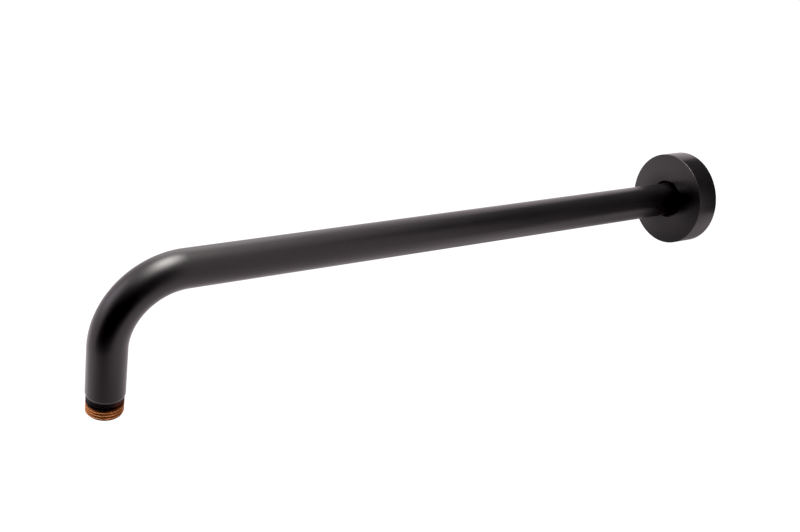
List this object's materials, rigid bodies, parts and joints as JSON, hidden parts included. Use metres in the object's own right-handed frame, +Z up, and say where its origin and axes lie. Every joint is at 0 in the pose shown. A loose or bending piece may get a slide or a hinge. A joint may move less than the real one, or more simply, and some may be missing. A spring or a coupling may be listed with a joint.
{
  "type": "shower arm",
  "caption": "Round bent tube that carries a shower head out from a wall, with a threaded nipple in each end and a round cover flange that slides and turns on the tube.",
  "frame": {"origin": "on the arm's axis in the plane of the wall, which is the back face of the cover flange", "axes": "+Y along the arm's axis into the wall, +Z up, with the outlet pointing down along -Z"},
  "size_m": [0.062, 0.446, 0.1145],
  "materials": {
    "black_coating": "satin",
    "bare_brass": "satin",
    "seal_rubber": "matte"
  },
  "bodies": {
    "arm": {"arm_tube": "black_coating", "outlet_nipple": "bare_brass", "inlet_nipple": "bare_brass"},
    "seal": {"flange_o_ring": "seal_rubber"},
    "flange": {"cover_flange": "black_coating"}
  },
  "joints": [
    {"name": "flange_slide", "type": "slide", "parent": "arm", "child": "seal", "axis": [0, -1, 0], "range_m": [0, 0.36]},
    {"name": "flange_turn", "type": "hinge", "parent": "seal", "child": "flange", "pos_m": [0, 0, 0], "axis": [0, 1, 0], "continuous": true}
  ]
}
